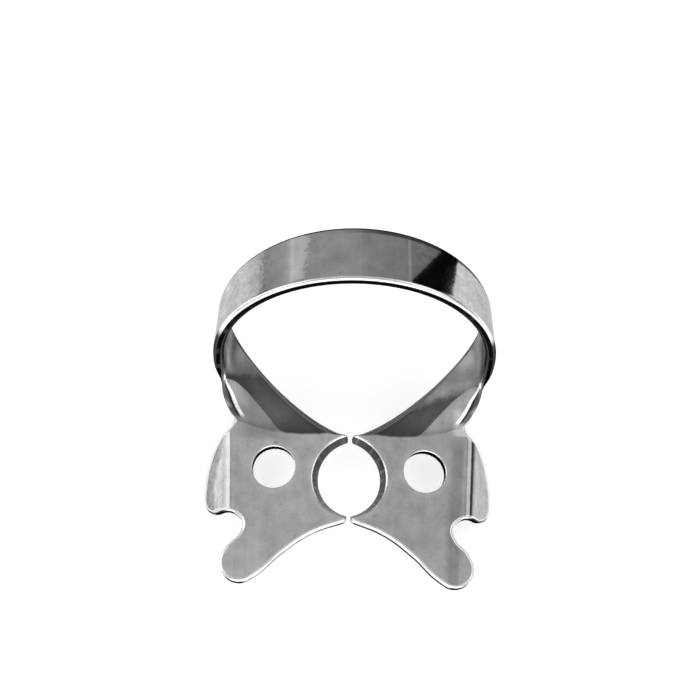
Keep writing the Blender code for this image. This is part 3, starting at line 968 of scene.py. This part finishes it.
# Painted shade marks a crease along the fold, stronger on the right, and a darker strip over its bend, and
# the right wing gets painted shade as well. The outer part of each wing is darker, mostly on the left, and
# the right jaw is darker beside its fold.
past_fold = maths(tree, "SUBTRACT", out, maths(tree, "MULTIPLY_ADD", y, FOLD_TURN, FOLD_X))
on_wing = product(tree, faces_up, between(tree, y, -3.5, -3.0, 2.5, 3.0))
crease = beside(tree, past_fold, CREASE_AT, 0.15, 0.04)
crease = product(tree, crease, on_wing, by_side(tree, is_right, *CREASE))
outer_wing_at = maths(tree, "MULTIPLY_ADD", smooth(tree, y, 2.6, -1.5), 0.66, 0.55)
past_outer_wing = maths(tree, "SUBTRACT", past_fold, outer_wing_at)
outer_wing = product(tree, smooth(tree, past_outer_wing, -0.12, 0.10), on_wing, by_side(tree, is_right, *OUTER_WING_DARKER))
strip = between(tree, past_fold, -0.15, 0.05, 0.55, 0.75)
strip = product(tree, strip, on_wing, by_side(tree, is_right, *STRIP))
right_wing = product(tree, smooth(tree, past_fold, 0.6, 0.9), on_wing, is_right)
beside_fold = product(
    tree, between(tree, past_fold, -1.5, -0.9, -0.5, -0.15), smooth(tree, y, 3.0, 1.6), is_right,
)

# Painted highlight pales the jaws round the rims of the holes and notch.
flat_out = maths(tree, "DIVIDE", out, math.cos(JAW_SLOPE))
rim_light = []
for (centre_x, centre_y), near, far in RIM_HIGHLIGHT_REACH:
    from_centre = point_of(
        tree, maths(tree, "SUBTRACT", flat_out, centre_x), maths(tree, "SUBTRACT", y, centre_y), 0.0,
    )
    rim_light.append(smooth(tree, vectors(tree, "LENGTH", from_centre), far, near))
rims = product(tree, maths(tree, "MAXIMUM", *rim_light), smooth(tree, above_jaw, 0.4, 0.2), faces_up)

# Two fine lines cross the bow, and its ends keep the peel of the pressed sheet.
on_bow = smooth(tree, z, 6.5, 8.5)
lines = [
    maths(tree, "MULTIPLY", beside(tree, x, line_at, half_width, half_width * 0.3), line_gain)
    for line_at, half_width, line_gain in BOW_LINES
]
lines = product(tree, maths(tree, "ADD", *lines), on_bow)
# A painted lighter patch stands in for reflected light on the right of the bow.
light_patch = product(
    tree, beside(tree, x, 4.7, 1.0, 0.3), on_bow, smooth(tree, v, 0.25, 0.6),
    smooth(tree, noise(tree, place, 1.6, 3.0), -0.7, 0.8),
)
# Painted shade darkens the far rim, and painted reflection darkens the left and right of the bow and its
# dark patch.
far_rim = product(tree, smooth(tree, v, 0.87, 0.91), on_bow, smooth(tree, x, -3.0, 2.5))
bow_left = product(tree, smooth(tree, x, -5.5, -7.0), on_bow)
bow_right = product(tree, smooth(tree, x, -0.5, 3.5), on_bow)
bow_patch = product(tree, between(tree, x, 3.0, 4.8, 6.0, 6.8), on_bow)
peel = product(tree, noise(tree, place, 2.6, 3.0), smooth(tree, out, 5.0, 7.5), smooth(tree, z, 2.0, 5.0))
bump = tree.nodes["Bump"]
peel_height = maths(tree, "MULTIPLY", is_left, PEEL_HEIGHT)
tree.links.new(maths(tree, "MULTIPLY_ADD", peel, peel_height, marks["Height"]), bump.inputs["Height"])
smoother = product(tree, on_bow, smooth(tree, x, -2.0, 1.0))
tree.links.new(less(tree, 0.6, smoother), bump.inputs["Strength"])

# On its right the shading normal of the bow is tilted, as if the sheet were a little twisted.
patch_at = maths(tree, "MULTIPLY_ADD", v, 3.0, 3.1)
twist = product(tree, beside(tree, x, patch_at, 1.7, 0.7), on_bow, maths(tree, "SUBTRACT", 0.45, v))
near_end = product(tree, beside(tree, x, 6.6, 1.2, 0.4), on_bow, smooth(tree, v, 0.75, 0.05), END_TWIST)
twist = maths(tree, "ADD", twist, near_end)
outwards = tree.nodes.new("ShaderNodeNewGeometry").outputs["Normal"]
twisted = vectors(tree, "ADD", outwards, scaled(tree, BOW_TWIST, twist))
tree.links.new(vectors(tree, "NORMALIZE", twisted), bump.inputs["Normal"])

tone = product(
    tree, leg_tone, SATIN, by_side(tree, is_right, *SIDE_TONE), more(tree, RIM_HIGHLIGHT_GAIN, rims),
    less(tree, 1.0, crease), less(tree, 1.0, outer_wing), less(tree, 1.0, strip),
    less(tree, BESIDE_FOLD_DARKER, beside_fold), less(tree, RIGHT_WING_DARKER, right_wing),
    more(tree, FRONT_WINGS_PALER, smooth(tree, y, -5.5, -7.0)), more(tree, PEEL_TONE, peel),
    more(tree, 1.0, lines), more(tree, LIGHT_PATCH_GAIN, light_patch), less(tree, FAR_RIM_DARKER, far_rim),
    less(tree, BOW_LEFT_DARKER, bow_left), less(tree, BOW_RIGHT_DARKER, bow_right),
    less(tree, BOW_PATCH_DARKER, bow_patch),
)
rough = maths(tree, "MULTIPLY_ADD", on_bow, BOW_ROUGHNESS - SATIN_ROUGHNESS, SATIN_ROUGHNESS)
rough = maths(tree, "MAXIMUM", maths(tree, "MULTIPLY_ADD", leg, LEG_ROUGHER, rough),
              maths(tree, "MULTIPLY_ADD", shin, SHIN_ROUGHER, rough))
coat(tree, shader, marks, tone, rough)
shader.inputs["Specular Tint"].default_value = SHEET_TINT

# Rounded edges
# They carry painted highlights along the outside of the bow and round the jaws, wings and low legs, and
# painted shade underneath and at the lips of the wings. Elsewhere they stay dark.
EDGE_DARK, EDGE_BRIGHTER = 0.06, 0.80
EDGE_ROUGHNESS = 0.26
EDGE_TINT = (0.3, 0.3, 0.3, 1.0)
REAR_SHARE = 0.18  # of the painted highlight that is left on the rear edge of the legs

painted_edge, tree, shader, marks, where, place = steel_material("rounded_edge_painted_light", 0.04, 0.03, 0.2)
x, y, z = parts_of(tree, place)
faces = parts_of(tree, where.outputs["Normal"])
out = maths(tree, "ABSOLUTE", x)
v = attribute(tree, "across")
inner = looks_inwards(tree, where, place)
at_front = smooth(tree, v, 0.6, 0.4)
bow_front = product(tree, smooth(tree, inner, 0.10, -0.15), at_front, smooth(tree, z, 6.3, 7.3))
leg_inside = product(tree, smooth(tree, z, 4.6, 3.8), smooth(tree, inner, -0.1, 0.1), 0.25)
low = maths(tree, "MAXIMUM", smooth(tree, z, 2.7, 2.4), leg_inside)
outermost = maths(tree, "MAXIMUM", maths(tree, "MULTIPLY", smooth(tree, z, 2.3, 2.0), at_front),
                  smooth(tree, v, 0.06, 0.02))
leg_outside = product(tree, smooth(tree, y, 3.9, 4.3), outermost)
frontness = maths(tree, "MULTIPLY_ADD", at_front, 1.0 - REAR_SHARE, REAR_SHARE)
low = product(tree, low, frontness, less(tree, 0.9, leg_outside))
front_left = product(tree, smooth(tree, y, -4.0, -4.6), maths(tree, "LESS_THAN", x, 0.0))
under = product(tree, smooth(tree, faces["Z"], 0.15, -0.15), less(tree, 0.9, front_left))
side_lip = product(
    tree, smooth(tree, out, 8.3, 8.6), between(tree, y, -4.4, -4.0, -2.7, -2.4),
    smooth(tree, faces["Y"], -0.2, -0.4),
)
lip = maths(tree, "MAXIMUM", front_lip(tree, out, y), side_lip)
lip = product(tree, lip, smooth(tree, faces["Z"], 0.60, 0.45))
bright = product(
    tree, maths(tree, "MAXIMUM", bow_front, low), less(tree, 1.0, maths(tree, "MAXIMUM", under, lip)),
)
coat(tree, shader, marks, maths(tree, "MULTIPLY_ADD", bright, EDGE_BRIGHTER, EDGE_DARK), EDGE_ROUGHNESS)
shader.inputs["Specular Tint"].default_value = EDGE_TINT

# Stamped faces
# The cut faces of the sheet are coloured near black, as painted shade. Only those in front carry a painted
# highlight, stronger on the left.
STAMPED_DARK = 0.008
STAMPED_FRONT_HIGHLIGHT = (0.92, 0.16)  # left and right
STAMPED_BLOTCHES = 0.05
STAMPED_ROUGHNESS = 0.28
STAMPED_TINT = (0.0, 0.0, 0.0, 1.0)

stamped, tree, shader, marks, where, place = steel_material("stamped_edge", 0.20, 0.15, 0.2)
x, y, z = parts_of(tree, place)
out = maths(tree, "ABSOLUTE", x)
bright = product(
    tree, by_side(tree, maths(tree, "GREATER_THAN", x, 0.0), *STAMPED_FRONT_HIGHLIGHT), smooth(tree, y, -4.2, -5.0),
    less(tree, 0.88, front_lip(tree, out, y)),
)
blotches = product(tree, smooth(tree, noise(tree, place, 1.1), 0.1, 0.9), smooth(tree, out, 6.0, 8.5))
bright = maths(tree, "MULTIPLY_ADD", blotches, STAMPED_BLOTCHES, bright)
coat(tree, shader, marks, maths(tree, "ADD", bright, STAMPED_DARK), STAMPED_ROUGHNESS)
shader.inputs["Specular Tint"].default_value = STAMPED_TINT

# Ground wall of the notch
# It is cut at a taper to bite on the tooth, and the stone that grinds it
# leaves upright marks all round.
# The wall's dark colour is painted shade, and the grinding marks vary it all round.
GROUND_DARK, GROUND_BRIGHTER = 0.075, 0.12
GROUND_ROUGHNESS = 0.30
GROUND_SCALE = (7.0, 0.4)  # cycles round the notch, in each radian, and up its wall

ground, tree, shader, marks, where, place = steel_material("ground_notch_wall", 0.12, 0.0, 0.2)
x, y, z = parts_of(tree, place)
centre_x = maths(tree, "MULTIPLY", maths(tree, "SIGN", x), NOTCH_CENTRE.x / MM)
turn = maths(tree, "ARCTAN2", maths(tree, "SUBTRACT", y, NOTCH_CENTRE.y / MM),
             maths(tree, "SUBTRACT", x, centre_x))
grinding = noise(tree, point_of(
    tree, maths(tree, "MULTIPLY", turn, GROUND_SCALE[0]), maths(tree, "MULTIPLY", z, GROUND_SCALE[1]), 0.0,
), 1.0)
tone = maths(tree, "MULTIPLY_ADD", smooth(tree, grinding, -0.1, 0.9), GROUND_BRIGHTER, GROUND_DARK)
coat(tree, shader, marks, tone, GROUND_ROUGHNESS)

# The blank is mirrored, thickened, tumbled and then cut.
blank = bpy.data.objects.new("clamp_blank", half_sheet(leg_and_bow(steel)))
blank.data.materials.clear()
finishes = (steel, stamped, ground, painted_edge)
for material in finishes:
    blank.data.materials.append(material)
scene.collection.objects.link(blank)
halves = blank.modifiers.new("Halves", "MIRROR")
halves.use_clip = True
halves.merge_threshold = SEAM_WITHIN
thick = blank.modifiers.new("Sheet", "SOLIDIFY")
thick.thickness = SHEET
thick.offset = 0.0
thick.use_even_offset = True
thick.material_offset_rim = finishes.index(stamped)
tumbled = blank.modifiers.new("Tumbled edges", "BEVEL")
tumbled.width = EDGE_ROUND
tumbled.segments = EDGE_STEPS
tumbled.limit_method = "ANGLE"
tumbled.angle_limit = SHARPER_THAN
tumbled.use_clamp_overlap = False
tumbled.material = finishes.index(painted_edge)
blank.modifiers.new("Even triangles", "TRIANGULATE")
cutters = turned_cutter(
    "tooth_notch", NOTCH_CENTRE, round_profile(NOTCH_RADIUS, NOTCH_TAPER, NOTCH_ROUND),
    NOTCH_ROUND, NOTCH_SIDES, (painted_edge, ground),
)
cutters += turned_cutter(
    "forceps_hole", (HOLE_AT, 0.0), round_profile(HOLE_RADIUS, 0.0, HOLE_ROUND),
    HOLE_ROUND, HOLE_SIDES, (painted_edge, stamped),
)
for cutter in cutters:
    cut = blank.modifiers.new(cutter.name, "BOOLEAN")
    cut.operation = "DIFFERENCE"
    cut.solver = "MANIFOLD"
    cut.material_mode = "TRANSFER"
    cut.object = cutter
    cutter.hide_render = True
blank.data.shade_smooth()
graph = bpy.context.evaluated_depsgraph_get()
mesh = bpy.data.meshes.new_from_object(blank.evaluated_get(graph))
mesh.name = "clamp"
unfold_slivers(mesh)
keep_flats_flat(mesh)
for used in [blank] + cutters:
    bpy.data.objects.remove(used)
clamp = bpy.data.objects.new("clamp", mesh)
scene.collection.objects.link(clamp)
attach(clamp, "root")
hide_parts("rubber_dam_clamp")
